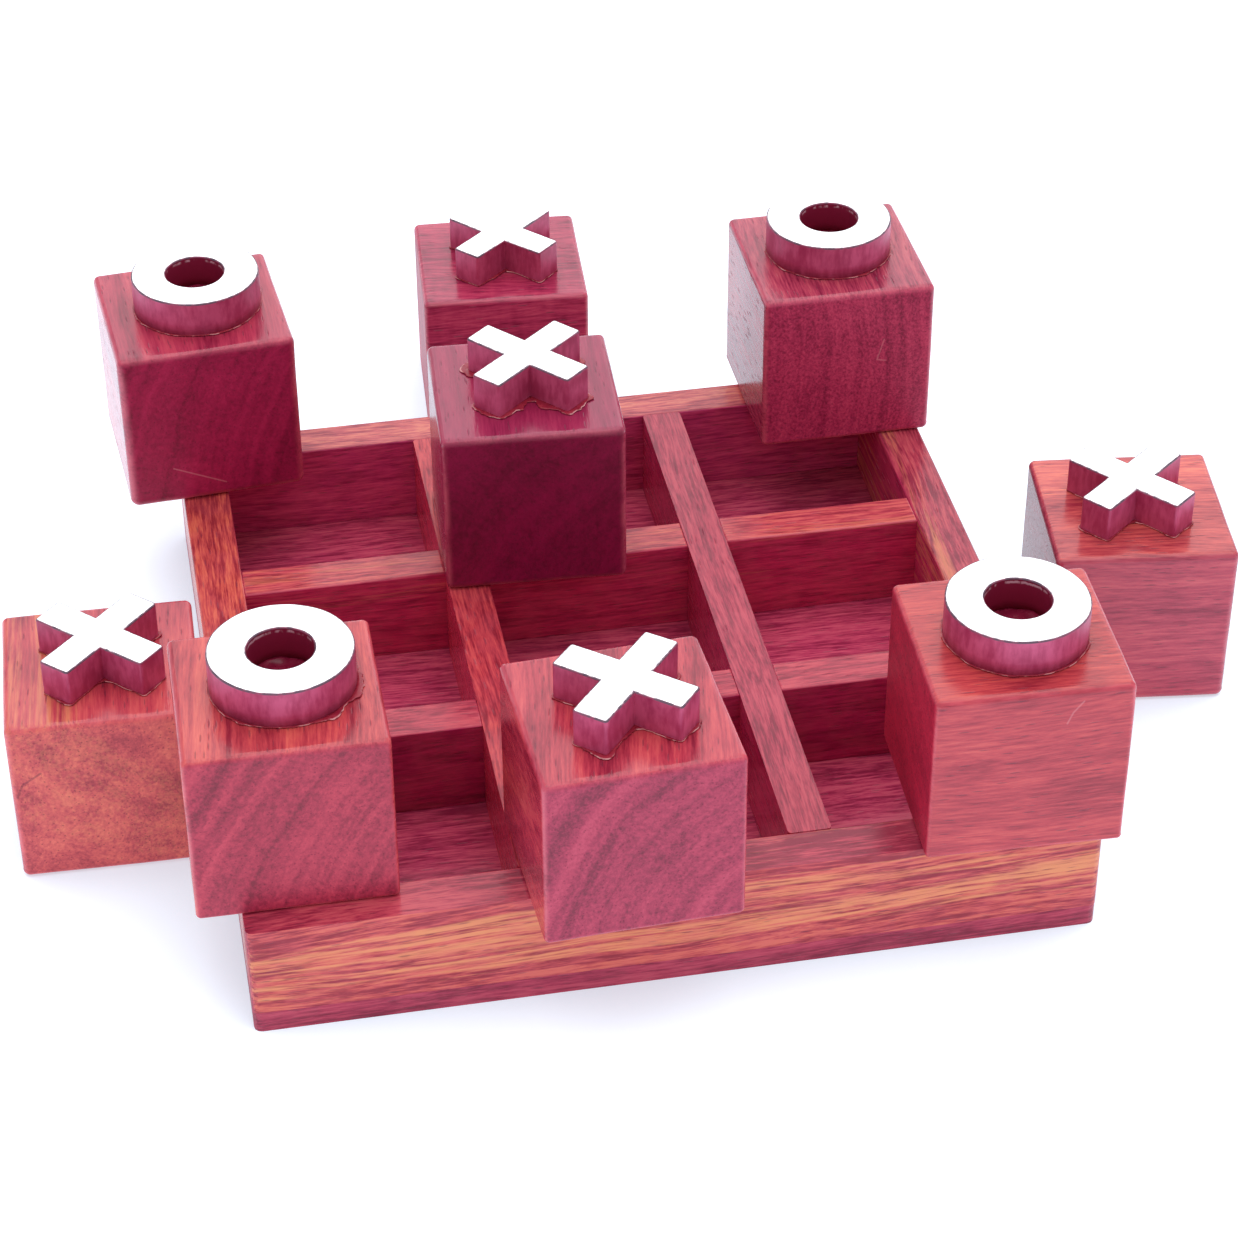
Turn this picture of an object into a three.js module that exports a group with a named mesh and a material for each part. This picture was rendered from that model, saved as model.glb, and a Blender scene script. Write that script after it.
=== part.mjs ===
// A tic tac toe set: an open wooden tray with a grid of nine square cells, and nine loose wooden
// blocks that each carry a thick polished metal X or O.
//
// Millimetres, +Z up. The origin is the centre of the tray's underside, X runs left to right and
// -Y is the front. The blocks are laid out as in use: some stand on the tray, some beside it.

import * as THREE from 'three';

// ---- Driving dimensions -------------------------------------------------------------------

const TRAY_WIDTH = 150;
const TRAY_DEPTH = 151.5;
const BASE_THICKNESS = 4.25;
const WALL_HEIGHT = 18.25;
const WALL_THICKNESS = { front: 8.5, back: 8, left: 9, right: 8.5 };

// The dividers cross in half laps: the long ones run front to back over the cross ones.
const LONG_THICKNESS = 7.75;
const LONG_DIVIDER_X = { left: -23.5, right: 24.25 };
const CROSS_THICKNESS = 8;
const CROSS_DIVIDER_Y = { back: 24.75, front: -23.25 };

const BLOCK_SIDE = 35;
const BLOCK_HEIGHT = 34.25;
const BLOCK_EASE = 0.6;

const FIGURE_THICKNESS = 7;
const FIGURE_EASE = 0.25;
const O_OUTER_RADIUS = 12.5;
const O_INNER_RADIUS = 5.75;
const O_SEGMENTS = 48;
const X_ARM_LENGTH = 12.5;
const X_ARM_WIDTH = 6.5;

// ---- Values that follow from them ---------------------------------------------------------

const TRAY_TOP = BASE_THICKNESS + WALL_HEIGHT;
const TABLE = 0;
const HALF_WIDTH = TRAY_WIDTH / 2;
const HALF_DEPTH = TRAY_DEPTH / 2;
const INSIDE_X = [-HALF_WIDTH + WALL_THICKNESS.left, HALF_WIDTH - WALL_THICKNESS.right];
const INSIDE_Y = [-HALF_DEPTH + WALL_THICKNESS.front, HALF_DEPTH - WALL_THICKNESS.back];
const LAP_DEPTH = WALL_HEIGHT / 2;

// Where each block stands: the centre of its foot, its turn about Z in degrees, and what is
// under it. shift and twist say how far its figure is glued off the middle of the block's top.
const BLOCKS = [
  { name: 'o_1', x: -69.25, y: 72.25, turn: 4.5, under: TRAY_TOP, shift: [1.25, 0.75], twist: 0 },
  { name: 'o_2', x: 59.25, y: 69, turn: 0.5, under: TRAY_TOP, shift: [-0.25, 1.25], twist: 0 },
  { name: 'o_3', x: -65.25, y: -53.5, turn: -0.5, under: TRAY_TOP, shift: [1.25, 1.5], twist: 0 },
  { name: 'o_4', x: 60, y: -61.75, turn: -2, under: TRAY_TOP, shift: [0.5, 0], twist: 0 },
  { name: 'x_1', x: -1.5, y: 117, turn: -4, under: TABLE, shift: [0.75, -0.5], twist: 1.5 },
  { name: 'x_2', x: -9.5, y: 31, turn: -3.25, under: TRAY_TOP, shift: [0.75, 0.5], twist: 0.25 },
  { name: 'x_3', x: 103.5, y: 1.75, turn: -7, under: TABLE, shift: [-0.75, -0.5], twist: 1 },
  { name: 'x_4', x: -94.5, y: -10.75, turn: -1.5, under: TABLE, shift: [0.5, -0.5], twist: 3 },
  { name: 'x_5', x: -9.5, y: -69.75, turn: 2.75, under: TRAY_TOP, shift: [0.75, -0.5], twist: 2.5 },
];

// ---- Materials ----------------------------------------------------------------------------

const trayWood = new THREE.MeshStandardMaterial({ color: 0x8c2a3a, roughness: 0.35, metalness: 0 });
const blockWood = new THREE.MeshStandardMaterial({ color: 0x7c1534, roughness: 0.3, metalness: 0 });
const metal = new THREE.MeshStandardMaterial({ color: 0xe4e4e8, roughness: 0.15, metalness: 1 });

// ---- Geometry -----------------------------------------------------------------------------

/** A plain board, given by its low and high limits along X, Y and Z. */
function board([x0, x1], [y0, y1], [z0, z1]) {
  const geometry = new THREE.BoxGeometry(x1 - x0, y1 - y0, z1 - z0);
  geometry.translate((x0 + x1) / 2, (y0 + y1) / 2, (z0 + z1) / 2);
  return geometry;
}

/**
 * The side view of a divider from start to end, standing on height 0, with a lap notch centred
 * at each place in centres. The notches are cut from below or from above.
 */
function dividerProfile(start, end, centres, notchWidth, fromBelow) {
  const open = fromBelow ? 0 : WALL_HEIGHT;
  const plain = WALL_HEIGHT - open;
  const profile = new THREE.Shape();
  profile.moveTo(start, open);
  for (const centre of centres) {
    profile.lineTo(centre - notchWidth / 2, open);
    profile.lineTo(centre - notchWidth / 2, LAP_DEPTH);
    profile.lineTo(centre + notchWidth / 2, LAP_DEPTH);
    profile.lineTo(centre + notchWidth / 2, open);
  }
  profile.lineTo(end, open);
  profile.lineTo(end, plain);
  profile.lineTo(start, plain);
  profile.closePath();
  return profile;
}

/** A solid of the given height on z = 0, from a plan outline, with its top and foot edges eased. */
function easedPrism(outline, height, ease, curveSegments) {
  const geometry = new THREE.ExtrudeGeometry(outline, {
    depth: height - 2 * ease,
    bevelEnabled: true,
    bevelThickness: ease,
    bevelSize: ease,
    bevelOffset: -ease,
    bevelSegments: 1,
    curveSegments,
  });
  geometry.translate(0, 0, ease);
  return geometry;
}

/** A square outline with its corners cut off by the ease. */
function squareOutline(side, ease) {
  const half = side / 2;
  const cut = half - ease;
  const outline = new THREE.Shape();
  outline.moveTo(cut, -half);
  outline.lineTo(half, -cut);
  outline.lineTo(half, cut);
  outline.lineTo(cut, half);
  outline.lineTo(-cut, half);
  outline.lineTo(-half, cut);
  outline.lineTo(-half, -cut);
  outline.lineTo(-cut, -half);
  outline.closePath();
  return outline;
}

/** A ring outline, for the O. */
function ringOutline(outer, inner) {
  const outline = new THREE.Shape();
  outline.absarc(0, 0, outer, 0, 2 * Math.PI, false);
  const hole = new THREE.Path();
  hole.absarc(0, 0, inner, 0, 2 * Math.PI, true);
  outline.holes.push(hole);
  return outline;
}

/** Four equal arms on the diagonals, for the X. */
function crossOutline(length, width) {
  const half = width / 2;
  const arm = [[half, -half], [length, -half], [length, half]];
  const points = [];
  for (let quarter = 0; quarter < 4; quarter += 1) {
    const angle = Math.PI / 4 + quarter * Math.PI / 2;
    for (const [along, across] of arm) {
      points.push(new THREE.Vector2(along, across).rotateAround(new THREE.Vector2(), angle));
    }
  }
  return new THREE.Shape(points);
}

// ---- Sub-parts ----------------------------------------------------------------------------

function part(name, geometry, material) {
  const mesh = new THREE.Mesh(geometry, material);
  mesh.name = name;
  return mesh;
}

/** The base board, with the walls on it: front and back full width, the sides between them. */
function makeTrayCase() {
  const tray = new THREE.Group();
  const fullX = [-HALF_WIDTH, HALF_WIDTH];
  const fullY = [-HALF_DEPTH, HALF_DEPTH];
  const wallZ = [BASE_THICKNESS, TRAY_TOP];
  tray.add(part('base_board', board(fullX, fullY, [0, BASE_THICKNESS]), trayWood));
  tray.add(part('front_wall', board(fullX, [-HALF_DEPTH, INSIDE_Y[0]], wallZ), trayWood));
  tray.add(part('back_wall', board(fullX, [INSIDE_Y[1], HALF_DEPTH], wallZ), trayWood));
  tray.add(part('left_wall', board([-HALF_WIDTH, INSIDE_X[0]], INSIDE_Y, wallZ), trayWood));
  tray.add(part('right_wall', board([INSIDE_X[1], HALF_WIDTH], INSIDE_Y, wallZ), trayWood));
  return tray;
}

/** A long divider, front to back, notched from below where it rides over the cross dividers. */
function makeLongDivider(side) {
  const [front, back] = INSIDE_Y;
  const laps = [CROSS_DIVIDER_Y.front, CROSS_DIVIDER_Y.back];
  const profile = dividerProfile(front, back, laps, CROSS_THICKNESS, true);
  const geometry = new THREE.ExtrudeGeometry(profile, { depth: LONG_THICKNESS, bevelEnabled: false });
  // The profile's length turns onto Y, its height onto Z and its thickness onto X.
  geometry.rotateX(Math.PI / 2);
  geometry.rotateZ(Math.PI / 2);
  geometry.translate(LONG_DIVIDER_X[side] - LONG_THICKNESS / 2, 0, BASE_THICKNESS);
  return part(`long_divider_${side}`, geometry, trayWood);
}

/** A cross divider, left to right, notched from above under the long dividers. */
function makeCrossDivider(side) {
  const [left, right] = INSIDE_X;
  const laps = [LONG_DIVIDER_X.left, LONG_DIVIDER_X.right];
  const profile = dividerProfile(left, right, laps, LONG_THICKNESS, false);
  const geometry = new THREE.ExtrudeGeometry(profile, { depth: CROSS_THICKNESS, bevelEnabled: false });
  // The profile's height turns onto Z and its thickness onto -Y.
  geometry.rotateX(Math.PI / 2);
  geometry.translate(0, CROSS_DIVIDER_Y[side] + CROSS_THICKNESS / 2, BASE_THICKNESS);
  return part(`cross_divider_${side}`, geometry, trayWood);
}

function makeFigureGeometry(mark) {
  if (mark === 'o') {
    const ring = ringOutline(O_OUTER_RADIUS, O_INNER_RADIUS);
    return easedPrism(ring, FIGURE_THICKNESS, FIGURE_EASE, O_SEGMENTS / 2);
  }
  return easedPrism(crossOutline(X_ARM_LENGTH, X_ARM_WIDTH), FIGURE_THICKNESS, FIGURE_EASE, 1);
}

/** One playing piece: a block with its figure standing on it. */
function makePiece({ name, x, y, turn, under, shift, twist }) {
  const piece = new THREE.Group();
  piece.position.set(x, y, under);
  piece.rotation.z = THREE.MathUtils.degToRad(turn);

  const outline = squareOutline(BLOCK_SIDE, BLOCK_EASE);
  const block = part(`block_${name}`, easedPrism(outline, BLOCK_HEIGHT, BLOCK_EASE, 1), blockWood);
  piece.add(block);

  const figure = part(`figure_${name}`, makeFigureGeometry(name[0]), metal);
  figure.position.set(shift[0], shift[1], BLOCK_HEIGHT);
  figure.rotation.z = THREE.MathUtils.degToRad(twist);
  piece.add(figure);
  return piece;
}

// ---- The set ------------------------------------------------------------------------------

const set = new THREE.Group();
set.add(makeTrayCase());
for (const side of Object.keys(LONG_DIVIDER_X)) {
  set.add(makeLongDivider(side));
}
for (const side of Object.keys(CROSS_DIVIDER_Y)) {
  set.add(makeCrossDivider(side));
}
for (const block of BLOCKS) {
  set.add(makePiece(block));
}

export default set;
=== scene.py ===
"""The looks of the tic tac toe set: polished red hardwood and metal figures on a white table.

Each CAD node is replaced by a finer piece of the same size, in the same place. Sizes below are
millimetres, as in the CAD, and MM turns them into Blender's metres. Colours are linear RGB.
"""

import math

import bmesh
import bpy
import numpy as np
from mathutils import Matrix, Vector, noise


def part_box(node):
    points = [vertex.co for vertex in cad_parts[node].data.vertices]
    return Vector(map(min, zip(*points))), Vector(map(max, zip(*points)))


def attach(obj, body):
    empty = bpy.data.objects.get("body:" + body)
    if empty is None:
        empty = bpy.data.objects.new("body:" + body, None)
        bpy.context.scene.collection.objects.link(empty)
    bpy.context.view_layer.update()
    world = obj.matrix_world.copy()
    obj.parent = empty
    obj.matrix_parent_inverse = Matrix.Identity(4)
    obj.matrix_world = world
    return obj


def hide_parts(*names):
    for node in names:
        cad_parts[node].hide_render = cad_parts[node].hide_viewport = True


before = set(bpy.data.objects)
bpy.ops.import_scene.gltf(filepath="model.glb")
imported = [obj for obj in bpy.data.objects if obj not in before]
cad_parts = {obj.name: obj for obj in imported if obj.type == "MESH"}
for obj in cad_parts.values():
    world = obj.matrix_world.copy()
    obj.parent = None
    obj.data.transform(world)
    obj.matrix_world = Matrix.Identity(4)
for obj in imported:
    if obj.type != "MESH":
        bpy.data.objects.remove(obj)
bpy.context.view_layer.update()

MM = 0.001

# ---- Driving values -------------------------------------------------------------------------

# The camera looks at a point above the middle of the tray.
CAMERA_AIM = (2.8, -0.3, 22.5)
CAMERA_DISTANCE = 626.7
CAMERA_AZIMUTH = 10.3
CAMERA_ELEVATION = 36.7
CAMERA_ROLL = -0.36
LENS = 96.3
SENSOR = 36.0

# How far each kind of edge is rounded.
BLOCK_TOP_EDGE = 1.3
BLOCK_SIDE_EDGE = 1.05
BLOCK_SIDE_EDGES = {"o_1": 1.8, "o_2": 1.3, "o_4": 0.9, "x_2": 1.6, "x_3": 1.5, "x_4": 1.3, "x_5": 1.2}
BOARD_EDGE = 0.35
OUTER_BOARD_EDGE = 0.5
TRAY_CORNER = 1.2
BASE_CORNER = 1.4
BASE_EDGE = 0.8
DIVIDER_END = 0.7
JOINT_EDGE = 0.12
FIGURE_EDGE = 0.28
X_TIP_CORNER = 0.6

# Which stretch of the log the first board and the first block are from, and the step to the next.
BOARD_SEEDS = (0.4, 1.37)
BLOCK_SEEDS = (9.3, 2.11)

# How uneven the hand work is.
BLOCK_WAVE = 0.05
BLOCK_SANDED = 0.16
FIGURE_WAVE = 0.10
# The wave along Y is read from the noise this far from the wave along X.
WAVE_Y_OFFSET = Vector((3.7, 41.3, 12.9))

# Glue squeezed out round a figure: how far it reaches at least and at most, how far it rounds the
# corners off, how thick it is, and how high it stands in the hole of an O. Some has spread further.
GLUE_REACH = (0.05, 0.7)
GLUE_REACHES = {"x_2": (0.4, 2.9), "x_5": (0.1, 1.6), "o_3": (0.1, 1.5)}
GLUE_ROUNDING = 2.2
GLUE_THICKNESS = 0.12
GLUE_POOL = 0.7

FLOOR_SIDE = 6000.0

# The studio: the colour and strength of the light from all round, and for each lamp its place, its
# width and depth, the radiance it shows and its colour. Places and sizes are metres.
WORLD_COLOUR = (0.95, 0.96, 1.0, 1.0)
WORLD_STRENGTH = 0.80
LAMPS = {
    "back_light": ((0.35, 1.35, 1.05), (1.9, 1.5), 1.15, (0.97, 0.98, 1.0)),
    "top_light": ((0.1, 0.1, 1.8), (1.8, 1.8), 1.45, (1.0, 1.0, 1.0)),
}

# ---- Node helpers ---------------------------------------------------------------------------


def add(tree, kind, inputs=None, **settings):
    """A new node. inputs gives each input, by name or number, a value or another node's output."""
    made = tree.nodes.new(kind)
    for name, value in settings.items():
        setattr(made, name, value)
    for name, value in (inputs or {}).items():
        if isinstance(value, bpy.types.NodeSocket):
            tree.links.new(value, made.inputs[name])
        else:
            made.inputs[name].default_value = value
    return made


def calculate(tree, operation, *values):
    return add(tree, "ShaderNodeMath", dict(enumerate(values)), operation=operation).outputs[0]


def vector_sum(tree, *values):
    return add(tree, "ShaderNodeVectorMath", dict(enumerate(values)), operation="ADD").outputs[0]


def scaled(tree, vector, factors):
    """The vector with each of its components multiplied by its own factor."""
    return add(tree, "ShaderNodeVectorMath", {0: vector, 1: factors}, operation="MULTIPLY").outputs[0]


def length(tree, vector):
    return add(tree, "ShaderNodeVectorMath", {0: vector}, operation="LENGTH").outputs["Value"]


def attribute(tree, name):
    """A value that the mesh carries at its vertices."""
    return add(tree, "ShaderNodeAttribute", attribute_name=name).outputs["Fac"]


def wave(tree, vector, factors, detail=2.0, roughness=0.5):
    """Smooth noise between 0 and 1, with factors giving how many waves it has per millimetre."""
    inputs = {"Vector": scaled(tree, vector, factors), "Scale": 1.0, "Detail": detail, "Roughness": roughness}
    return add(tree, "ShaderNodeTexNoise", inputs).outputs[0]


def added_wave(tree, total, strength, value):
    """total with value, which runs from 0 to 1, added to it about its middle."""
    centred = calculate(tree, "SUBTRACT", value, 0.5)
    return calculate(tree, "MULTIPLY_ADD", centred, strength, total)


def stepped(tree, value, low, high, to_low=0.0, to_high=1.0):
    """value carried smoothly from low..high to to_low..to_high, and held at both ends."""
    inputs = {0: value, 1: low, 2: high, 3: to_low, 4: to_high}
    return add(tree, "ShaderNodeMapRange", inputs, interpolation_type="SMOOTHSTEP").outputs[0]


def mixed(tree, factor, first, second):
    """The colour first where factor is 0 and second where it is 1."""
    colours = [(*c, 1.0) if isinstance(c, tuple) else c for c in (first, second)]
    inputs = {0: factor, 6: colours[0], 7: colours[1]}
    return add(tree, "ShaderNodeMix", inputs, data_type="RGBA").outputs[2]


def ramp(tree, factor, stops):
    """A colour ramp through stops, each a position and a colour."""
    made = add(tree, "ShaderNodeValToRGB", {0: factor})
    elements = made.color_ramp.elements
    while len(elements) < len(stops):
        elements.new(0.5)
    for element, (position, colour) in zip(elements, stops):
        element.position = position
        element.color = (*colour, 1.0)
    return made.outputs[0]


def new_material(name):
    material = bpy.data.materials.new(name)
    material.use_nodes = True
    tree = material.node_tree
    return material, tree, tree.nodes["Principled BSDF"]


# ---- Wood -----------------------------------------------------------------------------------

# Which of a piece's own axes come first, second and third, to put the grain's axis last.
GRAIN_ORDER = {"X": "YZX", "Y": "ZXY", "Z": "XYZ"}

PORE_COLOUR = (0.12, 0.006, 0.030)
# The paler colour of rounded edges: a painted highlight, with some sanding wear.
WORN_AND_HIGHLIGHT_COLOUR = (0.68, 0.17, 0.20)
GOLD_COLOUR = (0.80, 0.31, 0.13)
SCRATCH_COLOUR = (0.80, 0.34, 0.36)

# How wide strokes on a front face are and how strongly they show.
SCRATCH_WIDTH = 0.22
SCRATCH_STRENGTH = 0.25
CRACK_WIDTH = 0.3
CRACK_STRENGTH = 0.45


def shades(colour):
    """Stops of a wood's colour, from its darkest lines, through its own colour, to pale streaks."""
    dark = (0.52, 0.26, 0.48)
    pale = (1.20, 1.55, 1.20)
    paler = (1.42, 2.50, 1.55)
    tinted = [tuple(min(1.0, c * f) for c, f in zip(colour, factors)) for factors in (dark, pale, paler)]
    return [(0.26, tinted[0]), (0.50, colour), (0.62, tinted[1]), (0.80, tinted[2])]


def near_strokes(tree, position, strokes, width):
    """1 on straight strokes drawn on the front face, each given by the x and z of its two ends."""
    place = scaled(tree, position, (1 / MM, 1 / MM, 1 / MM))
    nearest = None
    for x0, z0, x1, z1 in strokes:
        start, reach = Vector((x0, 0, z0)), Vector((x1 - x0, 0, z1 - z0))
        offset = vector_sum(tree, scaled(tree, place, (1.0, 0.0, 1.0)), tuple(-start))
        along = add(tree, "ShaderNodeVectorMath", {0: offset, 1: tuple(reach / reach.length_squared)},
                    operation="DOT_PRODUCT").outputs["Value"]
        along = add(tree, "ShaderNodeClamp", {0: along}).outputs[0]
        passed = add(tree, "ShaderNodeVectorMath", {0: tuple(-reach), "Scale": along}, operation="SCALE")
        gap = length(tree, vector_sum(tree, offset, passed.outputs[0]))
        nearest = calculate(tree, "MINIMUM", nearest, gap) if nearest else gap
    facing_front = stepped(tree, add(tree, "ShaderNodeSeparateXYZ", {0: place}).outputs["Y"], -15.0, -17.0)
    return calculate(tree, "MULTIPLY", stepped(tree, nearest, width * 0.4, width, 1.0, 0.0), facing_front)


def marked(tree, colour, position, strokes, width, strength, stroke_colour):
    """The colour with strokes drawn on it, or the colour itself if there are none."""
    if not strokes:
        return colour
    mark = calculate(tree, "MULTIPLY", near_strokes(tree, position, strokes, width), strength)
    return mixed(tree, mark, colour, stroke_colour)


def place_in_log(tree, position, grain, heart, lean, seed):
    """A point's place in the log, in millimetres, with Z along the grain and the heart at X = Y = 0.

    It comes twice: as it is, and bent by a slow wander that keeps rings and fibres from being
    straight.
    """
    split = add(tree, "ShaderNodeSeparateXYZ", {0: position})
    log = add(tree, "ShaderNodeCombineXYZ", {i: split.outputs[a] for i, a in enumerate(GRAIN_ORDER[grain])})
    straight = add(tree, "ShaderNodeMapping", {
        "Vector": log.outputs[0],
        "Location": (-heart[0], -heart[1], 53.0 * seed),
        "Rotation": (lean[0], lean[1], 0.0),
        "Scale": (1 / MM, 1 / MM, 1 / MM),
    }).outputs[0]
    wander = add(tree, "ShaderNodeTexNoise", {
        "Vector": scaled(tree, straight, (0.035, 0.035, 0.012)), "Scale": 1.0, "Detail": 2.0,
    }).outputs["Color"]
    wander = vector_sum(tree, wander, (-0.5, -0.5, 0.0))
    return straight, vector_sum(tree, straight, scaled(tree, wander, (7.0, 7.0, 0.0)))


def face_masks(tree, normal, grain):
    """1 where a face cuts across the grain, and 1 where it is level or carries the attribute outside."""
    along_grain = length(tree, scaled(tree, normal, tuple(float(axis == grain) for axis in "XYZ")))
    cut = stepped(tree, along_grain, 0.6, 0.95)
    facing_up = add(tree, "ShaderNodeSeparateXYZ", {0: normal}).outputs["Z"]
    level = stepped(tree, calculate(tree, "ABSOLUTE", facing_up), 0.6, 0.95)
    return cut, calculate(tree, "MAXIMUM", level, attribute(tree, "outside"))


def golden_sapwood(tree, gold, radius, bent, fibre, cut):
    """How golden the wood is: in strands and patches between two radii, and less where it is cut."""
    strength, near, far = gold
    inner = stepped(tree, radius, near, near + 4.0)
    outer = stepped(tree, radius, far - 4.0, far, 1.0, 0.0)
    strand = wave(tree, bent, (1.1, 1.1, 0.016), 3.0, 0.6)
    patch = wave(tree, bent, (0.16, 0.16, 0.012), 2.0)
    golden = added_wave(tree, calculate(tree, "MULTIPLY", inner, outer), 2.0, patch)
    golden = added_wave(tree, golden, 3.6, strand)
    golden = added_wave(tree, golden, 1.0, fibre)
    golden = stepped(tree, golden, 0.55, 1.65, 0.0, strength)
    return calculate(tree, "MULTIPLY", golden, stepped(tree, cut, 0.0, 1.0, 1.0, 0.4))


def edge_wear_and_highlight(tree, straight, fibre):
    """How much the rounded edges turn paler: a painted highlight, with some sanding wear, unevenly."""
    wear = added_wave(tree, wave(tree, straight, (0.2, 0.2, 0.2), 3.0), 0.4, fibre)
    return calculate(tree, "MULTIPLY", attribute(tree, "edge"), stepped(tree, wear, 0.35, 0.65, 0.35, 0.95))


def wood(name, grain, along, end, seed, upright=None, heart=(40.0, -60.0), lean=(0.02, 0.02), gap=3.6,
         rings=0.6, streaks=0.5, speckle=1.1, curl=0.0, mottle=0.4, gold=None, shine=1.48,
         upright_contrast=1.0, end_roughness=0.25, scratches=(), cracks=()):
    """Solid hardwood: growth rings, fibres and pores that run right through the piece.

    along is the colour on faces that follow the grain and end the colour where it is cut across.
    upright is the colour on upright faces that follow the grain, if they differ from level ones and
    don't carry the attribute outside: painted light and shade, deepest on the sides of the tray's cells.
    heart is where the rings' middle lies, in millimetres across the grain from the piece's origin,
    lean tilts the grain from the piece's axis and gap is the ring spacing. rings, streaks, speckle,
    curl and mottle are the strengths of growth rings, long streaks, fibres, ripples across the
    grain and clouds. gold is the strength of golden sapwood and the radii that it lies between.
    upright_contrast makes the grain fainter on upright faces, part of the same painted shade. shine is
    the refractive index, which sets how much white the polish mirrors, and end_roughness is how much
    rougher the wood is where it is cut across. scratches and cracks are strokes on the front face, each
    the x and z of its two ends. seed says which stretch of the log the piece is from.
    """
    material, tree, shader = new_material(name)
    coordinates = add(tree, "ShaderNodeTexCoord")
    position = coordinates.outputs["Object"]
    straight, bent = place_in_log(tree, position, grain, heart, lean, seed)
    radius = length(tree, scaled(tree, bent, (1.0, 1.0, 0.0)))
    cut, level = face_masks(tree, coordinates.outputs["Normal"], grain)

    ring = add(tree, "ShaderNodeTexNoise", {
        "W": calculate(tree, "DIVIDE", radius, gap), "Scale": 1.0, "Detail": 3.0, "Roughness": 0.55,
    }, noise_dimensions="1D").outputs[0]
    streak = wave(tree, bent, (0.75, 0.75, 0.010), 4.0, 0.65)
    fibre = wave(tree, bent, (1.7, 1.7, 0.14), 3.0, 0.7)
    ripple = wave(tree, straight, (0.06, 0.10, 0.40), 2.0)
    cloud = wave(tree, straight, (0.09, 0.09, 0.05), 3.0)
    pores = add(tree, "ShaderNodeTexVoronoi", {
        "Vector": scaled(tree, bent, (1.15, 1.15, 0.16)), "Scale": 1.0,
    }).outputs["Distance"]
    pore = stepped(tree, pores, 0.10, 0.24, 1.0, 0.0)

    tone = 0.5
    for strength, value in (
            (rings, ring), (streaks, streak), (speckle, fibre), (curl, ripple), (mottle, cloud)):
        tone = added_wave(tree, tone, strength, value)

    # Upright faces have their own colour and a fainter grain: painted light and shade, deepest on the
    # # sides of the tray's cells. Cut ones take up more oil.
    calm = calculate(tree, "MULTIPLY_ADD", tone, upright_contrast, 0.5 * (1.0 - upright_contrast))
    colour = mixed(tree, level, ramp(tree, calm, shades(upright or along)), ramp(tree, tone, shades(along)))
    colour = mixed(tree, cut, colour, ramp(tree, tone, shades(end)))
    if gold:
        sapwood = golden_sapwood(tree, gold, radius, bent, fibre, cut)
        colour = mixed(tree, sapwood, colour, GOLD_COLOUR)
    colour = mixed(tree, calculate(tree, "MULTIPLY", pore, 0.5), colour, PORE_COLOUR)
    # Rounded edges turn paler: a painted highlight, with some sanding wear.
    sanded = tuple((1.6 * own + worn_to) / 2 for own, worn_to in zip(end, WORN_AND_HIGHLIGHT_COLOUR))
    colour = mixed(tree, edge_wear_and_highlight(tree, straight, fibre), colour, sanded)
    colour = marked(tree, colour, position, scratches, SCRATCH_WIDTH, SCRATCH_STRENGTH, SCRATCH_COLOUR)
    colour = marked(tree, colour, position, cracks, CRACK_WIDTH, CRACK_STRENGTH, PORE_COLOUR)
    tree.links.new(colour, shader.inputs["Base Color"])

    gloss = calculate(tree, "MULTIPLY_ADD", fibre, 0.18, 0.12)
    gloss = calculate(tree, "MULTIPLY_ADD", pore, 0.20, gloss)
    gloss = calculate(tree, "MULTIPLY_ADD", cut, end_roughness, gloss)
    tree.links.new(gloss, shader.inputs["Roughness"])
    shader.inputs["IOR"].default_value = shine

    pit = calculate(tree, "MULTIPLY", pore, stepped(tree, cut, 0.0, 1.0, -0.8, 0.0))
    relief = calculate(tree, "ADD", pit, fibre)
    relief = calculate(tree, "MULTIPLY_ADD", streak, 0.5, relief)
    bump = add(tree, "ShaderNodeBump", {"Strength": 0.35, "Distance": 0.1 * MM, "Height": relief})
    tree.links.new(bump.outputs[0], shader.inputs["Normal"])
    return material


# ---- Metal and glue -------------------------------------------------------------------------

METAL_TOP = (0.92, 0.92, 0.93)
# The cut sides are painted with the red of the wood round them, a painted reflection in two tones that change
# at random.
METAL_SIDE_REFLECTION = (0.57, 0.090, 0.200)
METAL_SIDE_REFLECTION_DARK = (0.40, 0.038, 0.112)
# Inside an O's hole the metal is darker: painted shade.
METAL_HOLE_SHADE = (0.30, 0.014, 0.056)
# A broken pale line on the lip just under the rim: a painted highlight.
METAL_LIP_HIGHLIGHT = (0.74, 0.42, 0.50)
# A dark line round the figure's rim.
METAL_RIM_LINE = (0.12, 0.07, 0.10)
SIDE_METALLIC = 0.25


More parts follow.
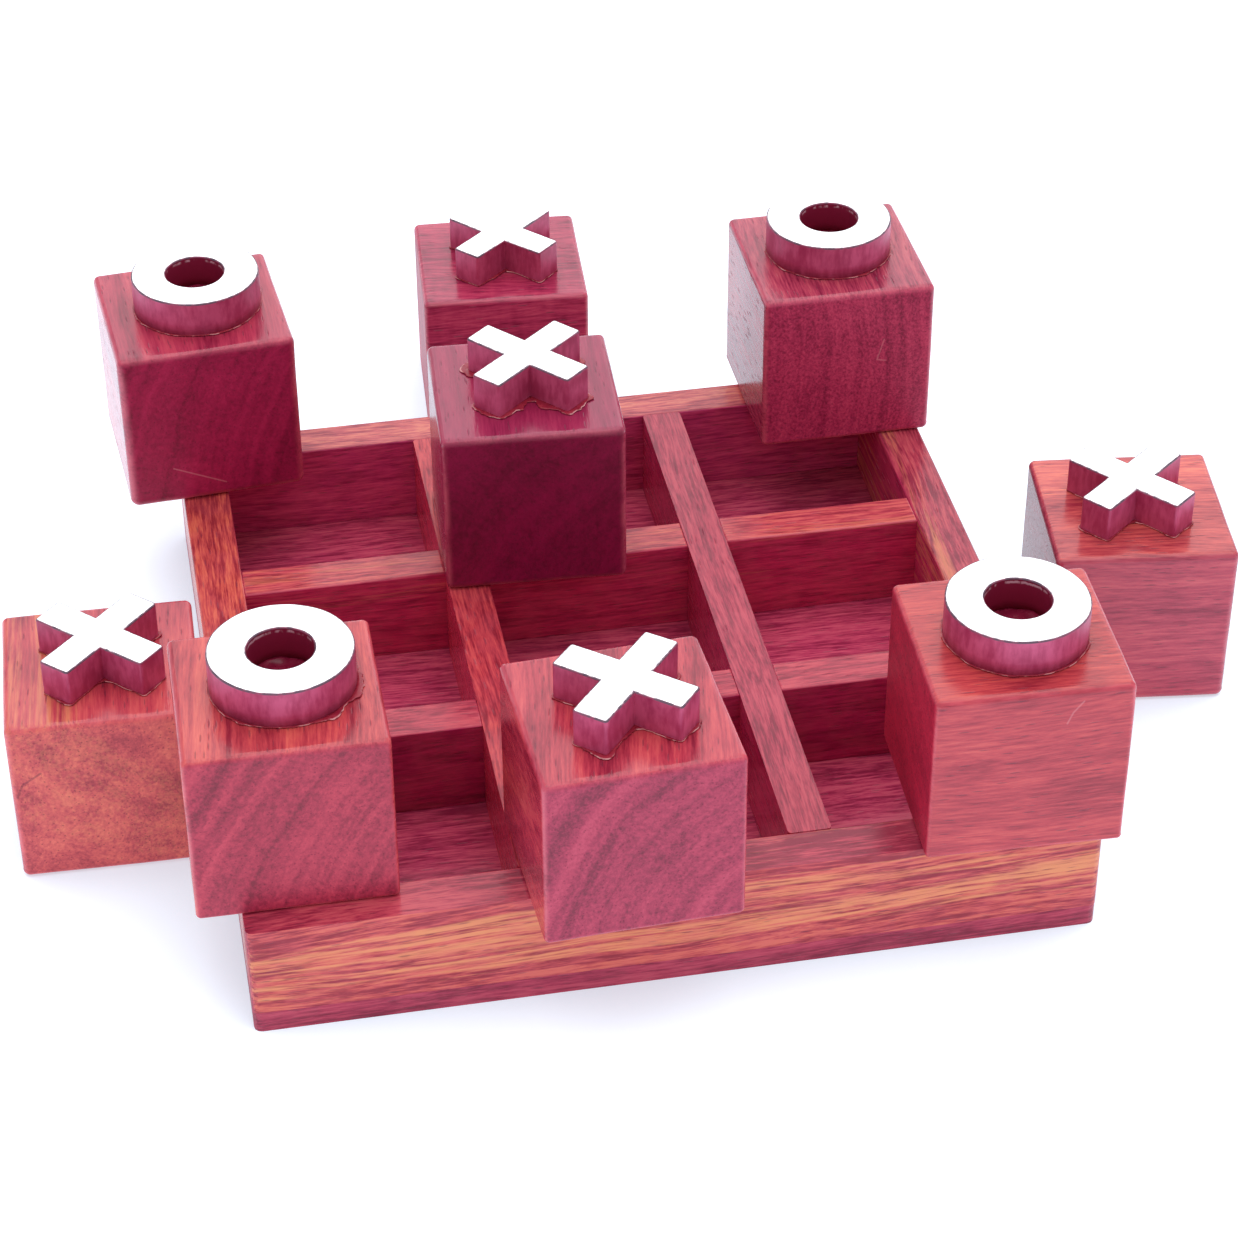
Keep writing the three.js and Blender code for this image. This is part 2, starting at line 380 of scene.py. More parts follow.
def figure_metal(name, seed, height):
    """Metal plate: buffed bright on top, satin where it was cut, with a dark line round the rim.

    Its cut sides carry a painted reflection of the red wood round them. Inside the hole of an O it is
    darker, a painted shade, with a broken painted highlight on the lip a little under the rim. height
    is the plate's, in metres.
    """
    material, tree, shader = new_material(name)
    coordinates = add(tree, "ShaderNodeTexCoord")
    placed = add(tree, "ShaderNodeMapping", {
        "Vector": coordinates.outputs["Object"],
        "Location": (seed * 3.1, seed * 1.7, 0.0),
        "Rotation": (0.0, 0.0, 0.5 + seed),
        "Scale": (1 / MM, 1 / MM, 1 / MM),
    }).outputs[0]
    buffing = wave(tree, placed, (0.3, 4.0, 0.6), 4.0, 0.6)
    cutting = wave(tree, placed, (0.9, 0.9, 0.25), 3.0, 0.6)
    smear = wave(tree, placed, (0.22, 0.22, 0.22), 3.0)

    facing = add(tree, "ShaderNodeSeparateXYZ", {0: coordinates.outputs["Normal"]}).outputs["Z"]
    top = stepped(tree, facing, 0.85, 0.97)
    worked = calculate(tree, "MULTIPLY_ADD", smear, 0.6, 0.2)
    worked = added_wave(tree, worked, 0.7, cutting)
    # The sides: a painted reflection of the red wood, in two tones that change at random.
    side = mixed(tree, stepped(tree, worked, 0.32, 0.68), METAL_SIDE_REFLECTION_DARK, METAL_SIDE_REFLECTION)
    colour = mixed(tree, top, side, METAL_TOP)
    # Darker inside the hole: painted shade.
    hole = attribute(tree, "hole")
    colour = mixed(tree, hole, colour, METAL_HOLE_SHADE)
    depth = add(tree, "ShaderNodeSeparateXYZ", {0: coordinates.outputs["Object"]}).outputs["Z"]
    depth = calculate(tree, "MULTIPLY_ADD", depth, -1 / MM, height / MM)
    depth = added_wave(tree, depth, 0.8, cutting)
    # A broken painted highlight on the lip, a little under the rim inside the hole.
    lip = calculate(tree, "MULTIPLY", hole, stepped(tree, depth, 0.5, 0.7))
    lip = calculate(tree, "MULTIPLY", lip, stepped(tree, depth, 0.9, 1.2, 1.0, 0.0))
    lip = calculate(tree, "MULTIPLY", lip, stepped(tree, worked, 0.42, 0.56))
    colour = mixed(tree, lip, colour, METAL_LIP_HIGHLIGHT)
    # A dark line round the rim, broken up at random.
    rim_line = calculate(tree, "MULTIPLY", attribute(tree, "edge"), stepped(tree, worked, 0.35, 0.6, 0.35, 1.0))
    colour = mixed(tree, rim_line, colour, METAL_RIM_LINE)
    tree.links.new(colour, shader.inputs["Base Color"])
    # The sides are only a little metallic, so that their painted reflection shows.
    tree.links.new(stepped(tree, facing, 0.85, 0.97, SIDE_METALLIC, 1.0), shader.inputs["Metallic"])

    polished = calculate(tree, "MULTIPLY_ADD", buffing, 0.10, 0.08)
    satin = calculate(tree, "MULTIPLY_ADD", cutting, 0.20, 0.32)
    gloss = add(tree, "ShaderNodeMix", {0: top, 2: satin, 3: polished}).outputs[0]
    tree.links.new(gloss, shader.inputs["Roughness"])
    relief = calculate(tree, "MULTIPLY_ADD", buffing, 0.3, cutting)
    bump = add(tree, "ShaderNodeBump", {"Strength": 0.22, "Distance": 0.08 * MM, "Height": relief})
    tree.links.new(bump.outputs[0], shader.inputs["Normal"])
    return material


GLUE_COLOURS = ((0.27, 0.013, 0.034), (0.40, 0.032, 0.056))
# The glue at the bottom of an O's hole is darker still: painted shade in the hole.
SHADED_POOL_COLOURS = ((0.19, 0.007, 0.033), (0.30, 0.014, 0.052))
# The pale broken line along the glue's rim is a painted highlight.
GLUE_RIM_HIGHLIGHT = (0.85, 0.42, 0.42)
GLUE_IOR = 1.36


def dried_glue(name, colours):
    """Dried glue round a figure's foot: clear and dark, with a broken painted highlight along its rim."""
    material, tree, shader = new_material(name)
    coordinates = add(tree, "ShaderNodeTexCoord").outputs["Object"]
    placed = scaled(tree, coordinates, (1 / MM, 1 / MM, 1 / MM))
    blotch = wave(tree, placed, (0.45, 0.45, 0.45), 3.0)
    highlight_breakup = wave(tree, placed, (0.35, 0.35, 0.35), 3.0)
    base = ramp(tree, blotch, [(0.3, colours[0]), (0.7, colours[1])])
    # A broken painted highlight along the skirt's rim.
    rim = calculate(tree, "MULTIPLY", attribute(tree, "edge"), stepped(tree, highlight_breakup, 0.48, 0.58, 0.0, 0.9))
    colour = mixed(tree, rim, base, GLUE_RIM_HIGHLIGHT)
    tree.links.new(colour, shader.inputs["Base Color"])
    gloss = stepped(tree, blotch, 0.2, 0.8, 0.15, 0.40)
    tree.links.new(gloss, shader.inputs["Roughness"])
    shader.inputs["IOR"].default_value = GLUE_IOR
    return material


TABLE_COLOUR = (0.46, 0.52, 0.58, 1.0)
GLOW_COLOUR = (0.84, 0.91, 1.0, 1.0)

# How brightly the table glows in the open and hard against the things on it, the drop being
# a painted shadow, and how near, in metres, a thing has to be to count.
TABLE_GLOW = 1.04
SHADED_GLOW = 0.54
SHADE_REACH = 0.065


def table_top(name):
    """White and glowing as a light table does; the glow dims close round whatever stands on it, a painted
    shadow.
    """
    material, tree, shader = new_material(name)
    shader.inputs["Base Color"].default_value = TABLE_COLOUR
    shader.inputs["Roughness"].default_value = 0.7
    shader.inputs["Specular IOR Level"].default_value = 0.1
    shader.inputs["Emission Color"].default_value = GLOW_COLOUR
    # The glow is dimmed where other things are near: a painted shadow.
    openness = add(tree, "ShaderNodeAmbientOcclusion", {"Distance": SHADE_REACH}, samples=8).outputs["AO"]
    glow = stepped(tree, openness, 0.3, 0.9, SHADED_GLOW, TABLE_GLOW)
    tree.links.new(glow, shader.inputs["Emission Strength"])
    return material


# ---- Places taken from the CAD --------------------------------------------------------------


def points_of(node):
    return np.array([v.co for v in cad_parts[node].data.vertices])


def turned(points, angle):
    """The points as seen in a frame that is itself turned by angle about Z."""
    c, s = math.cos(angle), math.sin(angle)
    made = np.array(points)
    made[:, :2] = made[:, :2] @ np.array([[c, -s], [s, c]])
    return made


def turn_of(node):
    """The turn about Z, within 45 degrees of none, that gives a CAD node its smallest plan box."""
    points = points_of(node)

    def plan_area(degrees):
        return np.prod(np.ptp(turned(points, math.radians(degrees)), axis=0)[:2])

    near = min(np.arange(-44.5, 45.0, 0.5), key=plan_area)
    return math.radians(min(near + np.arange(-0.5, 0.5, 0.01), key=plan_area))


def foot_of(node, turn):
    """The matrix that puts a piece, made about the middle of its foot, where the node is."""
    low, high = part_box(node)
    middle = ((low.x + high.x) / 2, (low.y + high.y) / 2, low.z)
    return Matrix.Translation(middle) @ Matrix.Rotation(turn, 4, "Z")


# ---- Mesh makers ----------------------------------------------------------------------------


def finished(bm, name):
    """The object made from bm, in the scene."""
    bmesh.ops.recalc_face_normals(bm, faces=bm.faces)
    mesh = bpy.data.meshes.new(name)
    bm.to_mesh(mesh)
    bm.free()
    made = bpy.data.objects.new(name, mesh)
    bpy.context.scene.collection.objects.link(made)
    return made


def edge_steps(half, radius, inner_steps):
    """Places from -half to half: close together over the rounded edges, even between them."""
    flat = half - radius
    arc = [flat + radius * math.tan(math.radians(a)) for a in (45, 36, 27, 18, 9, 0)]
    arc.append(flat - 0.3 * MM)
    inner = np.linspace(-arc[-1], arc[-1], inner_steps + 1)[1:-1]
    return [-x for x in arc] + list(inner) + arc[::-1]


def rounded_block(name, size, side_edge, seed):
    """A hand-sanded block on z = 0: edges rounded unevenly and faces very slightly wavy.

    Points of a grid on a box are moved onto the rounded shape. The attribute edge is 1 in the
    middle of a rounding and 0 on the flat faces.
    """
    half = [x / 2 for x in size]
    steps = [edge_steps(h, max(BLOCK_TOP_EDGE, side_edge) * MM * 1.15, 8) for h in half]
    bm = bmesh.new()
    edge = bm.verts.layers.float.new("edge")
    known = {}

    def vertex(place):
        key = tuple(round(x / MM, 4) for x in place)
        if key in known:
            return known[key]
        point = Vector(place)
        spot = Vector((seed * 9.0, 0, 0)) + point / (14 * MM)
        lift = min(1.0, max(0.0, (point.z - half[2] + 5 * MM) / (5 * MM)))
        radius = (side_edge + (BLOCK_TOP_EDGE - side_edge) * lift) * MM
        radius *= 1.0 + 0.15 * noise.noise(spot * 2.0)
        inner = Vector(max(-h + radius, min(h - radius, x)) for h, x in zip(half, point))
        outward = (point - inner).normalized()
        dent = BLOCK_WAVE * MM * (1.0 - noise.noise(spot))
        if point.z < radius - half[2]:
            dent = 0.0
        known[key] = bm.verts.new(inner + outward * (radius - dent) + Vector((0, 0, half[2])))
        known[key][edge] = (1.0 - max(abs(c) for c in outward) ** 6) * (1.0 - 0.4 * max(0.0, outward.z))
        return known[key]

    for axis in range(3):
        u, v = [a for a in range(3) if a != axis]
        for side in (-1, 1):
            for i in range(len(steps[u]) - 1):
                for j in range(len(steps[v]) - 1):
                    ring = []
                    for a, b in ((i, j), (i + 1, j), (i + 1, j + 1), (i, j + 1)):
                        place = [0.0, 0.0, 0.0]
                        place[axis], place[u], place[v] = side * half[axis], steps[u][a], steps[v][b]
                        ring.append(vertex(place))
                    bm.faces.new(ring).smooth = True
    return finished(bm, name)


def eased_board(node, name, edge_radius):
    """The node's own shape, with each outer edge rounded by what edge_radius says for it."""
    bm = bmesh.new()
    bm.from_mesh(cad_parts[node].data)
    bmesh.ops.remove_doubles(bm, verts=bm.verts, dist=0.001 * MM)
    bmesh.ops.dissolve_limit(bm, angle_limit=math.radians(1), verts=bm.verts, edges=bm.edges)
    by_radius = {}
    for item in bm.edges:
        if item.calc_face_angle_signed(0.0) > 0.1:
            by_radius.setdefault(round(edge_radius(item) / MM, 3), []).append(item)
    flat = {tuple(round(c, 3) for c in face.normal) for face in bm.faces}
    for radius in sorted(by_radius, reverse=True):
        edges = [e for e in by_radius[radius] if e.is_valid]
        bmesh.ops.bevel(bm, geom=edges, offset=radius * MM, offset_type="OFFSET", segments=3,
                        profile=0.5, affect="EDGES", clamp_overlap=True)
    edge = bm.verts.layers.float.new("edge")
    for face in bm.faces:
        face.smooth = tuple(round(c, 3) for c in face.normal) not in flat
    for vertex in bm.verts:
        vertex[edge] = 0.8 if all(face.smooth for face in vertex.link_faces) else 0.25
    return finished(bm, name)


def uneven(point, seed):
    """A small sideways push that makes a figure's outline look cut by hand."""
    spot = Vector((point.x, point.y, point.z * 0.4)) / (6 * MM) + Vector((seed * 7.0, 0, 0))
    push = Vector((noise.noise(spot), noise.noise(spot + WAVE_Y_OFFSET), 0))
    return point + push * FIGURE_WAVE * MM


def rim_profile(height):
    """(inset, z, rim) up a figure's side and over its rounded rim; rim is 1 on the rounding."""
    ease = FIGURE_EDGE * MM
    rows = [(0.0, 0.0, 0), (0.0, height * 0.35, 0), (0.0, height * 0.7, 0), (0.0, height - ease * 1.15, 0)]
    for angle in (0, 30, 60, 90):
        a = math.radians(angle)
        rows.append((ease * (1 - math.cos(a)), height - ease * (1 - math.sin(a)), 1))
    rows.append((ease * 1.15, height, 0))
    return rows


def stacked(bm, loops, closed=False):
    """Faces between neighbouring loops of vertices, and back to the first loop if closed."""
    pairs = list(zip(loops, loops[1:])) + ([(loops[-1], loops[0])] if closed else [])
    made = []
    for lower, upper in pairs:
        for k in range(len(lower)):
            after = (k + 1) % len(lower)
            made.append(bm.faces.new((lower[k], lower[after], upper[after], upper[k])))
    return made


def circle_outline(radius, count=128):
    def outline(inset):
        steps = [2 * math.pi * k / count for k in range(count)]
        return [Vector((math.cos(a), math.sin(a), 0)) * (radius - inset) for a in steps]
    return outline


def cross_outline(reach, arm, seed, corner_steps=4):
    """An X: for each arm, two slightly rounded tip corners and then the notch beside it."""
    def outline(inset):
        made = []
        half = arm / 2 - inset
        corner = max(X_TIP_CORNER * MM - inset, 0.1 * MM)
        for quarter in range(4):
            turn = Matrix.Rotation(math.radians(45 + 90 * quarter), 3, "Z")
            length = reach * (1 - 0.012 * (1 + math.sin(seed * 2.3 + quarter * 1.9))) - inset
            for side in (-1, 1):
                for k in range(corner_steps + 1):
                    a = math.radians(90 * k / corner_steps)
                    a = a if side > 0 else math.radians(90) - a
                    along = length - corner + corner * math.cos(a)
                    across = side * (half - corner + corner * math.sin(a))
                    made.append(turn @ Vector((along, across, 0)))
            made.append(turn @ Vector((half, half, 0)))
        return made
    return outline


def cross_cap(loop):
    """The X's flat faces: the square where the arms meet, and one face for each arm."""
    per_arm = len(loop) // 4
    notches = [loop[q * per_arm - 1] for q in range(4)]
    arms = [[notches[q]] + loop[q * per_arm:(q + 1) * per_arm] for q in range(4)]
    return [notches] + arms


def loops_up(bm, outline, profile, edge, seed):
    """Loops of vertices round the outline, one for each row of the profile."""
    loops = []
    for inset, z, rim in profile:
        loop = [bm.verts.new(uneven(p + Vector((0, 0, z)), seed)) for p in outline(inset)]
        for vertex in loop:
            vertex[edge] = rim
        loops.append(loop)
    return loops


def shade_rim(bm, edge):
    """Smooth shading on the rounded rim only."""
    for face in bm.faces:
        face.smooth = any(vertex[edge] > 0.5 for vertex in face.verts)


def cross_figure(name, reach, arm, height, seed):
    """The X, standing on z = 0."""
    bm = bmesh.new()
    edge = bm.verts.layers.float.new("edge")
    loops = loops_up(bm, cross_outline(reach, arm, seed), rim_profile(height), edge, seed)
    stacked(bm, loops)
    shade_rim(bm, edge)
    for loop in (loops[0], loops[-1]):
        for ring in cross_cap(loop):
            bm.faces.new(ring)
    return finished(bm, name)


def ring_figure(name, outer, inner, height, seed):
    """The O, standing on z = 0."""
    bm = bmesh.new()
    edge = bm.verts.layers.float.new("edge")
    hole = bm.verts.layers.float.new("hole")
    outside = loops_up(bm, circle_outline(outer), rim_profile(height), edge, seed)
    inside_profile = [(-inset, z, rim) for inset, z, rim in reversed(rim_profile(height))]
    inside = loops_up(bm, circle_outline(inner), inside_profile, edge, seed)
    # The attribute hole marks the inside wall below the rim, which the metal darkens as painted shade.
    for (_, _, rim), loop in zip(inside_profile[2:], inside[2:]):
        for vertex in loop:
            vertex[hole] = 1.0 - rim
    for face in stacked(bm, outside + inside, closed=True):
        face.smooth = True
    level = [f for f in bm.faces if len({round(v.co.z / MM, 4) for v in f.verts}) == 1]
    for face in level:
        face.smooth = False
    return finished(bm, name)


def evenly_spaced(loop, spacing):
    """Points at about the given spacing round a closed loop of points."""
    made = []
    for point, after in zip(loop, loop[1:] + loop[:1]):
        count = max(1, round((after - point).length / spacing))
        made += [point.lerp(after, k / count) for k in range(count)]
    return made


def rounded_off(loop, reach):
    """The loop with each point moved to the average of those within reach of it, both ways round."""
    made = []
    for middle in loop:
        near = [point for point in loop if (point - middle).length < reach]
        made.append(sum(near, Vector()) / len(near))
    return made


def glue_ring(name, outline, seed, reach):
    """A thin ragged skirt round a figure's foot, closed all round and hidden under the figure."""
    bm = bmesh.new()
    edge = bm.verts.layers.float.new("edge")
    foot = evenly_spaced(outline(0.0), 0.3 * MM)
    eased = rounded_off(foot, GLUE_ROUNDING * MM)
    low, high = (g * MM for g in reach)
    thick = GLUE_THICKNESS * MM
    # Each row's share of the skirt's width, or its depth under the figure if that is negative, its
    # share of the thickness, and whether it belongs to the rim.
    profile = [
        (1.0, -0.3, 1), (0.94, 0.7, 1), (0.75, 0.9, 0), (0.4, 1.0, 0), (-0.3, 1.0, 0), (-0.3, -0.3, 0),
    ]
    loops = []
    for share, rise, rim in profile:
        loop = []
        for k, own in enumerate(foot):
            along = eased[(k + 1) % len(foot)] - eased[k - 1]
            outward = Vector((along.y, -along.x, 0)).normalized()
            fill = max(0.0, (eased[k] - own).dot(outward))
            spot = own / (4.5 * MM) + Vector((seed * 11.0, 0, 0))
            ragged = 0.5 + 0.7 * noise.noise(spot) + 0.2 * noise.noise(spot * 5.0)
            width = low + (high - low) * min(1.0, max(0.0, ragged)) ** 2 + fill
            place = own + outward * (width * share if share > 0 else share * MM)
            made = bm.verts.new(place + Vector((0, 0, thick * rise)))
            made[edge] = rim
            loop.append(made)
        loops.append(loop)
    for face in stacked(bm, loops, closed=True):
        face.smooth = True
    return finished(bm, name)


def glue_pool(name, radius, seed, rings=14, count=64):
    """The lumpy glue that fills the bottom of an O's hole, closed underneath."""
    bm = bmesh.new()
    edge = bm.verts.layers.float.new("edge")
    loops = []
    for ring in range(1, rings + 1):
        loop = []
        for k in range(count):
            angle = 2 * math.pi * k / count
            place = Vector((math.cos(angle), math.sin(angle), 0)) * radius * ring / rings
            spot = place / (1.6 * MM) + Vector((seed * 5.0, 0, 0))
            lump = 0.5 + 0.5 * noise.noise(spot) + 0.5 * (ring / rings) ** 6
            place.z = GLUE_POOL * MM * lump
            loop.append(bm.verts.new(place))
        loops.append(loop)
    loops.append([bm.verts.new((v.co.x, v.co.y, 0)) for v in loops[-1]])
    faces = stacked(bm, loops)
    faces.append(bm.faces.new(loops[0]))
    for face in faces:
        face.smooth = True
    for vertex in bm.verts:
        vertex[edge] = 0.0
    bm.faces.new(loops[-1])
    return finished(bm, name)


# ---- The tray -------------------------------------------------------------------------------

# For each board: the axis of its grain, its colour along and across the grain, and its figure. An
# # upright colour in the figure is painted light and shade on the cells' sides.
TRAY_WOOD = {
    "base_board": ("X", (0.46, 0.037, 0.110), (0.32, 0.018, 0.060),
                   dict(upright=(0.35, 0.021, 0.066), upright_contrast=0.9)),
    "front_wall": ("X", (0.45, 0.040, 0.085), (0.42, 0.025, 0.070),
                   dict(upright=(0.49, 0.060, 0.066), upright_contrast=1.0, rings=0.8, streaks=1.5,
                        heart=(-71.0, -60.0), lean=(0.03, 0.0), gold=(0.90, 66.0, 83.0))),
    "back_wall": ("X", (0.51, 0.095, 0.104), (0.42, 0.025, 0.070), dict(upright=(0.56, 0.038, 0.165))),
    "left_wall": ("Y", (0.52, 0.064, 0.054), (0.38, 0.025, 0.065), dict(upright=(0.50, 0.035, 0.075))),
    "right_wall": ("Y", (0.39, 0.035, 0.070), (0.38, 0.025, 0.065),
                   dict(upright=(0.52, 0.024, 0.115), heart=(22.5, 30.0), gold=(0.6, 33.0, 41.5))),
    "long_divider_left": ("Y", (0.46, 0.032, 0.048), (0.38, 0.025, 0.065),
                          dict(upright=(0.62, 0.028, 0.080))),
    "long_divider_right": ("Y", (0.37, 0.025, 0.064), (0.38, 0.025, 0.065),
                           dict(upright=(0.45, 0.015, 0.086))),
    "cross_divider_back": ("X", (0.48, 0.050, 0.071), (0.38, 0.025, 0.065),
                           dict(upright=(0.47, 0.013, 0.085), gold=(0.3, 80.0, 95.0))),
    "cross_divider_front": ("X", (0.40, 0.027, 0.060), (0.38, 0.025, 0.065),
                            dict(upright=(0.38, 0.007, 0.080))),
}

# What all the tray's boards share: a duller polish and a bolder grain than the blocks, fainter on
# # the cells' sides as painted shade.
TRAY_FIGURE = {"shine": 1.36, "streaks": 0.8, "speckle": 1.8, "upright_contrast": 0.6}

# The axis that each wall faces along, and how near the outside a point on its outer face is.
OUTER_AXIS = {"back_wall": 1, "left_wall": 0, "right_wall": 0}
OUTSIDE_DEPTH = 2.0


def board_edges(node):
    """The function that gives each edge of a board its radius: most on the tray's own outside."""
    low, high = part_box("base_board")
    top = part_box("front_wall")[1].z
    sliver = 0.01 * MM

    def radius(item):
        first, second = (v.co for v in item.verts)
        middle = (first + second) / 2
        upright = abs((first - second).normalized().z) > 0.9
        outside = sum(abs(abs(middle[axis]) - high[axis]) < sliver for axis in (0, 1))
        if upright and outside == 2:
            return (BASE_CORNER if node == "base_board" else TRAY_CORNER) * MM
        if middle.z < low.z + sliver:
            return BASE_EDGE * MM
        if upright and node.startswith("long_divider"):
            return DIVIDER_END * MM
        if middle.z > top - sliver:
            return (OUTER_BOARD_EDGE if outside else BOARD_EDGE) * MM
        return JOINT_EDGE * MM

    return radius


def mark_outside(piece, node):
    """Marks a wall's outer face, which keeps the level faces' colour, without the painted light and shade of
    the cells' sides.
    """
    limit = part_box("base_board")[1][OUTER_AXIS[node]] - OUTSIDE_DEPTH * MM
    marks = piece.data.attributes.new("outside", "FLOAT", "POINT")
    for vertex, mark in zip(piece.data.vertices, marks.data):
        mark.value = float(abs(vertex.co[OUTER_AXIS[node]]) > limit)


def stands_for(piece, node, body, material):
    """Gives a piece its finish and makes it move with its body, in place of the CAD node."""
    piece.data.materials.append(material)
    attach(piece, body)
    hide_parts(node)


def make_tray():
    for count, (node, (grain, along, end, figure)) in enumerate(TRAY_WOOD.items()):
        name = f"wood_{node}"
        seed = BOARD_SEEDS[0] + BOARD_SEEDS[1] * count
        material = wood(name, grain, along, end, seed, **{**TRAY_FIGURE, **figure})
        piece = eased_board(node, name, board_edges(node))
        if node in OUTER_AXIS:
            mark_outside(piece, node)
        stands_for(piece, node, "tray", material)


# ---- The nine pieces ------------------------------------------------------------------------

# For each block: the same as for the tray's boards. An upright colour is painted light and shade on
# # the block's sides.
BLOCK_WOOD = {
    "o_1": ("Y", (0.43, 0.034, 0.078), (0.32, 0.006, 0.056),
            dict(rings=0.5, speckle=0.5, heart=(-10.0, 70.0),
                 scratches=((-8.5, 8.2, 1.6, 3.3),))),
    "o_2": ("Y", (0.40, 0.040, 0.085), (0.43, 0.023, 0.088),
            dict(rings=0.5, gap=2.4, heart=(15.0, -150.0),
                 scratches=((7.2, 22.8, 6.3, 19.6), (6.3, 19.6, 5.9, 18.2),
                            (6.1, 19.2, 5.9, 18.2), (5.9, 18.2, 7.7, 17.8)))),
    "o_3": ("Y", (0.54, 0.056, 0.070), (0.39, 0.019, 0.057),
            dict(rings=0.7, speckle=0.8, gap=4.0, heart=(-28.0, 78.0), lean=(0.07, 0.02))),
    "o_4": ("X", (0.53, 0.053, 0.062), (0.43, 0.010, 0.045),
            dict(upright=(0.46, 0.037, 0.060), rings=0.3, streaks=0.3, speckle=0.9, heart=(30.0, -70.0),
                 scratches=((5.6, 27.1, 6.5, 29.4), (6.5, 29.4, 8.2, 31.6)))),
    "x_1": ("X", (0.385, 0.025, 0.080), (0.38, 0.025, 0.070),
            dict(upright=(0.405, 0.030, 0.098), curl=0.3)),
    "x_2": ("Y", (0.31, 0.017, 0.069), (0.205, 0.001, 0.040),
            dict(rings=0.25, speckle=0.5, heart=(-20.0, 40.0))),
    "x_3": ("X", (0.63, 0.096, 0.094), (0.25, 0.020, 0.050),
            dict(upright=(0.45, 0.042, 0.086), rings=0.5, streaks=0.4, speckle=0.8,
                 heart=(-20.0, -60.0), end_roughness=0.0)),
    "x_4": ("Y", (0.51, 0.050, 0.076), (0.56, 0.070, 0.084),
            dict(rings=0.2, mottle=0.9, speckle=0.6, heart=(60.0, 30.0), gold=(0.5, 40.0, 66.0),
                 cracks=((-16.5, 18.8, -15.3, 21.6), (-15.3, 21.6, -11.9, 23.8)))),
    "x_5": ("Y", (0.50, 0.042, 0.072), (0.37, 0.020, 0.070),
            dict(rings=0.7, speckle=0.85, gap=4.5, heart=(-12.0, 45.0), lean=(0.2, 0.02))),
}


def outline_sizes(figure, turn):
    """A figure's reach and arm width if it is an X, or its outer and inner radius if an O."""
    points = turned(points_of(figure), turn)[:, :2]
    points -= (points.max(axis=0) + points.min(axis=0)) / 2
    distance = np.linalg.norm(points, axis=1)
    if figure.startswith("figure_o"):
        return float(np.ptp(points, axis=0).max()) / 2, float(distance.min())
    along = (points[:, 0] + points[:, 1]) / math.sqrt(2)
    across = (points[:, 1] - points[:, 0]) / math.sqrt(2)
    reach = float(along.max())
    return reach, 2 * float(np.abs(across[along > 0.9 * reach]).max())


def make_block(name, seed):
    grain, along, end, figure = BLOCK_WOOD[name]
    node = f"block_{name}"
    turn = turn_of(node)
    size = np.ptp(turned(points_of(node), turn), axis=0) - BLOCK_SANDED * MM
    block = rounded_block(f"wood_{node}", size, BLOCK_SIDE_EDGES.get(name, BLOCK_SIDE_EDGE), seed)
    block.matrix_world = foot_of(node, turn)
    log_seed = BLOCK_SEEDS[0] + BLOCK_SEEDS[1] * seed
    material = wood(f"wood_{node}", grain, along, end, log_seed, **figure)
    stands_for(block, node, f"piece_{name}", material)


def make_figure(name, seed, skirt_glue, shaded_pool_glue):
    node = f"figure_{name}"
    turn = turn_of(node) if name[0] == "x" else 0.0
    first, second = outline_sizes(node, turn)
    low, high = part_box(node)
    height = high.z - low.z
    reach = GLUE_REACHES.get(name, GLUE_REACH)
    if name[0] == "x":
        figure = cross_figure(f"metal_{node}", first, second, height, seed)
        films = [(glue_ring(f"glue_{name}", cross_outline(first, second, seed), seed, reach), skirt_glue)]
    else:
        figure = ring_figure(f"metal_{node}", first, second, height, seed)
        films = [
            (glue_ring(f"glue_{name}", circle_outline(first), seed, reach), skirt_glue),
            (glue_pool(f"glue_pool_{name}", second + 0.1 * MM, seed), shaded_pool_glue),
        ]
    figure.matrix_world = foot_of(node, turn)
    stands_for(figure, node, f"piece_{name}", figure_metal(f"metal_{node}", seed, height))
    for film, glue in films:
        film.data.materials.append(glue)
        film.matrix_world = foot_of(node, turn)
        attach(film, f"piece_{name}")


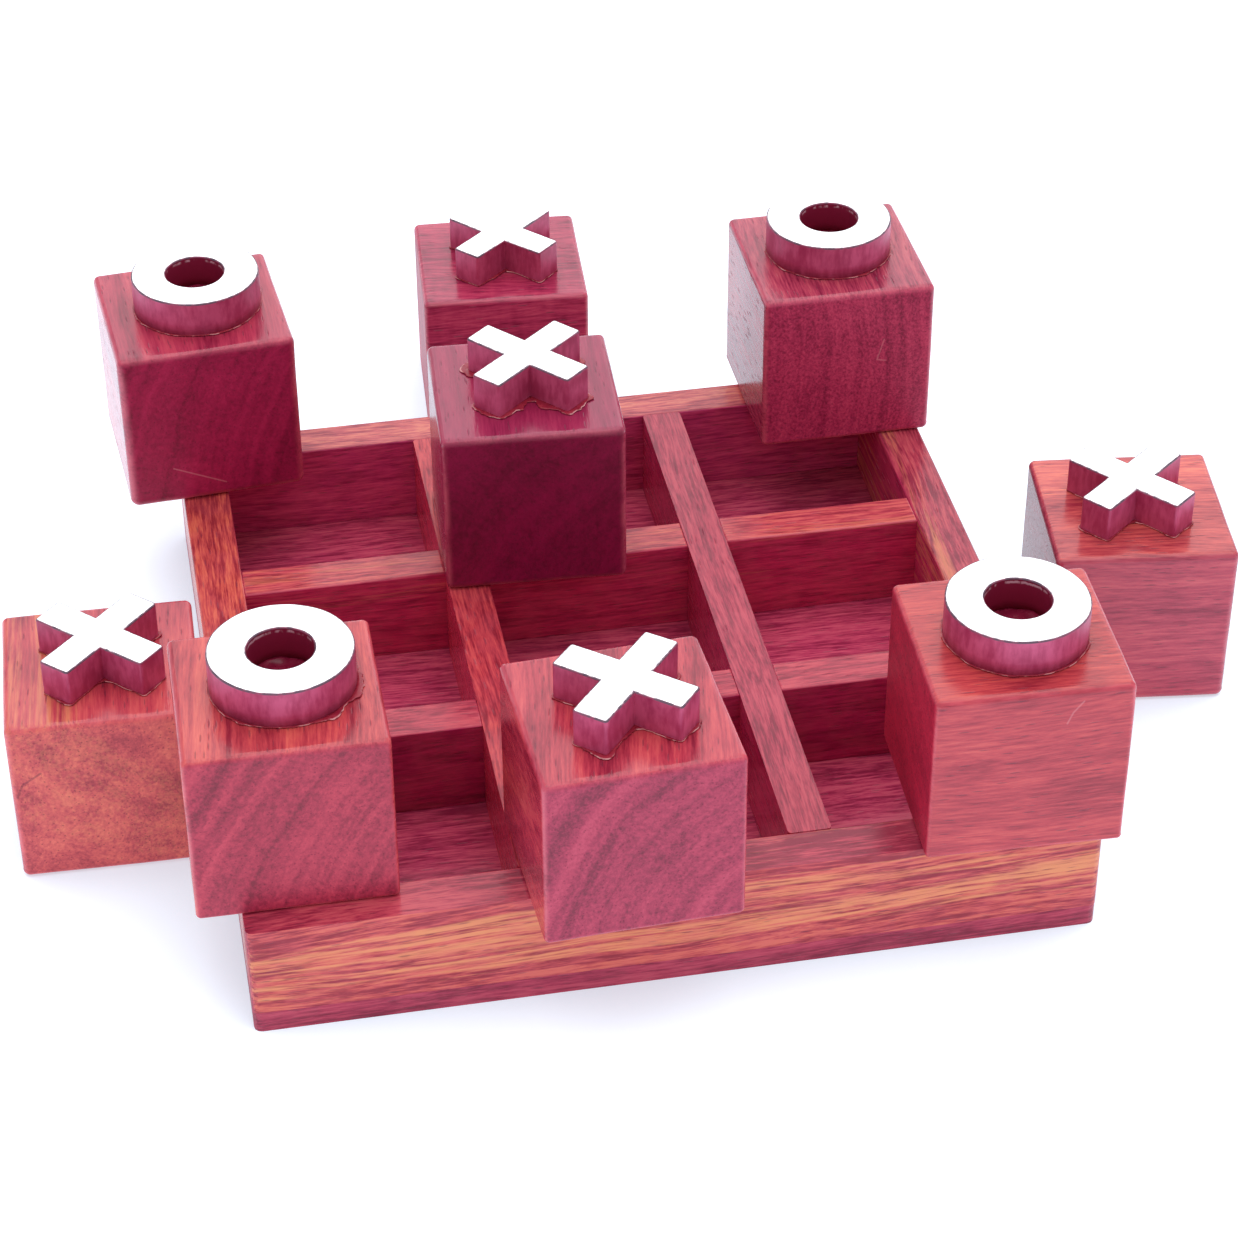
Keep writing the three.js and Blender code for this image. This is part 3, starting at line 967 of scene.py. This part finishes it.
def make_pieces():
    skirt_glue = dried_glue("glue_skirt", GLUE_COLOURS)
    # The glue in the holes of the O's is darker: painted shade.
    shaded_pool_glue = dried_glue("glue_pool", SHADED_POOL_COLOURS)
    for seed, name in enumerate(BLOCK_WOOD):
        make_block(name, seed + 1)
        make_figure(name, seed + 1, skirt_glue, shaded_pool_glue)


# ---- Stage ----------------------------------------------------------------------------------


def make_floor():
    bm = bmesh.new()
    bmesh.ops.create_grid(bm, x_segments=1, y_segments=1, size=FLOOR_SIDE * MM / 2)
    floor = finished(bm, "floor")
    floor.data.materials.append(table_top("table_top"))


def softbox(name, place, size, radiance, colour):
    """A rectangular lamp that faces the set and shows the given radiance."""
    width, depth = size
    lamp = bpy.data.lights.new(name, "AREA")
    lamp.shape = "RECTANGLE"
    lamp.size, lamp.size_y = width, depth
    lamp.energy = radiance * math.pi * width * depth
    lamp.color = colour
    made = bpy.data.objects.new(name, lamp)
    made.location = place
    made.rotation_euler = (-Vector(place)).to_track_quat("-Z", "Y").to_euler()
    bpy.context.scene.collection.objects.link(made)


def make_lights():
    world = bpy.data.worlds.new("studio")
    world.use_nodes = True
    background = world.node_tree.nodes["Background"]
    background.inputs["Color"].default_value = WORLD_COLOUR
    background.inputs["Strength"].default_value = WORLD_STRENGTH
    bpy.context.scene.world = world
    for name, (place, size, radiance, colour) in LAMPS.items():
        softbox(name, place, size, radiance, colour)


def make_camera():
    azimuth, elevation = math.radians(CAMERA_AZIMUTH), math.radians(CAMERA_ELEVATION)
    forward = Vector((
        math.sin(azimuth) * math.cos(elevation),
        math.cos(azimuth) * math.cos(elevation),
        -math.sin(elevation),
    ))
    lens = bpy.data.cameras.new("camera")
    lens.lens = LENS
    lens.sensor_width = SENSOR
    camera = bpy.data.objects.new("camera", lens)
    roll = Matrix.Rotation(math.radians(CAMERA_ROLL), 3, "Z")
    camera.matrix_world = (forward.to_track_quat("-Z", "Y").to_matrix() @ roll).to_4x4()
    camera.location = (Vector(CAMERA_AIM) - forward * CAMERA_DISTANCE) * MM
    bpy.context.scene.collection.objects.link(camera)
    bpy.context.scene.camera = camera


make_tray()
make_pieces()
make_floor()
make_lights()
make_camera()
bpy.context.scene.view_settings.view_transform = "Standard"
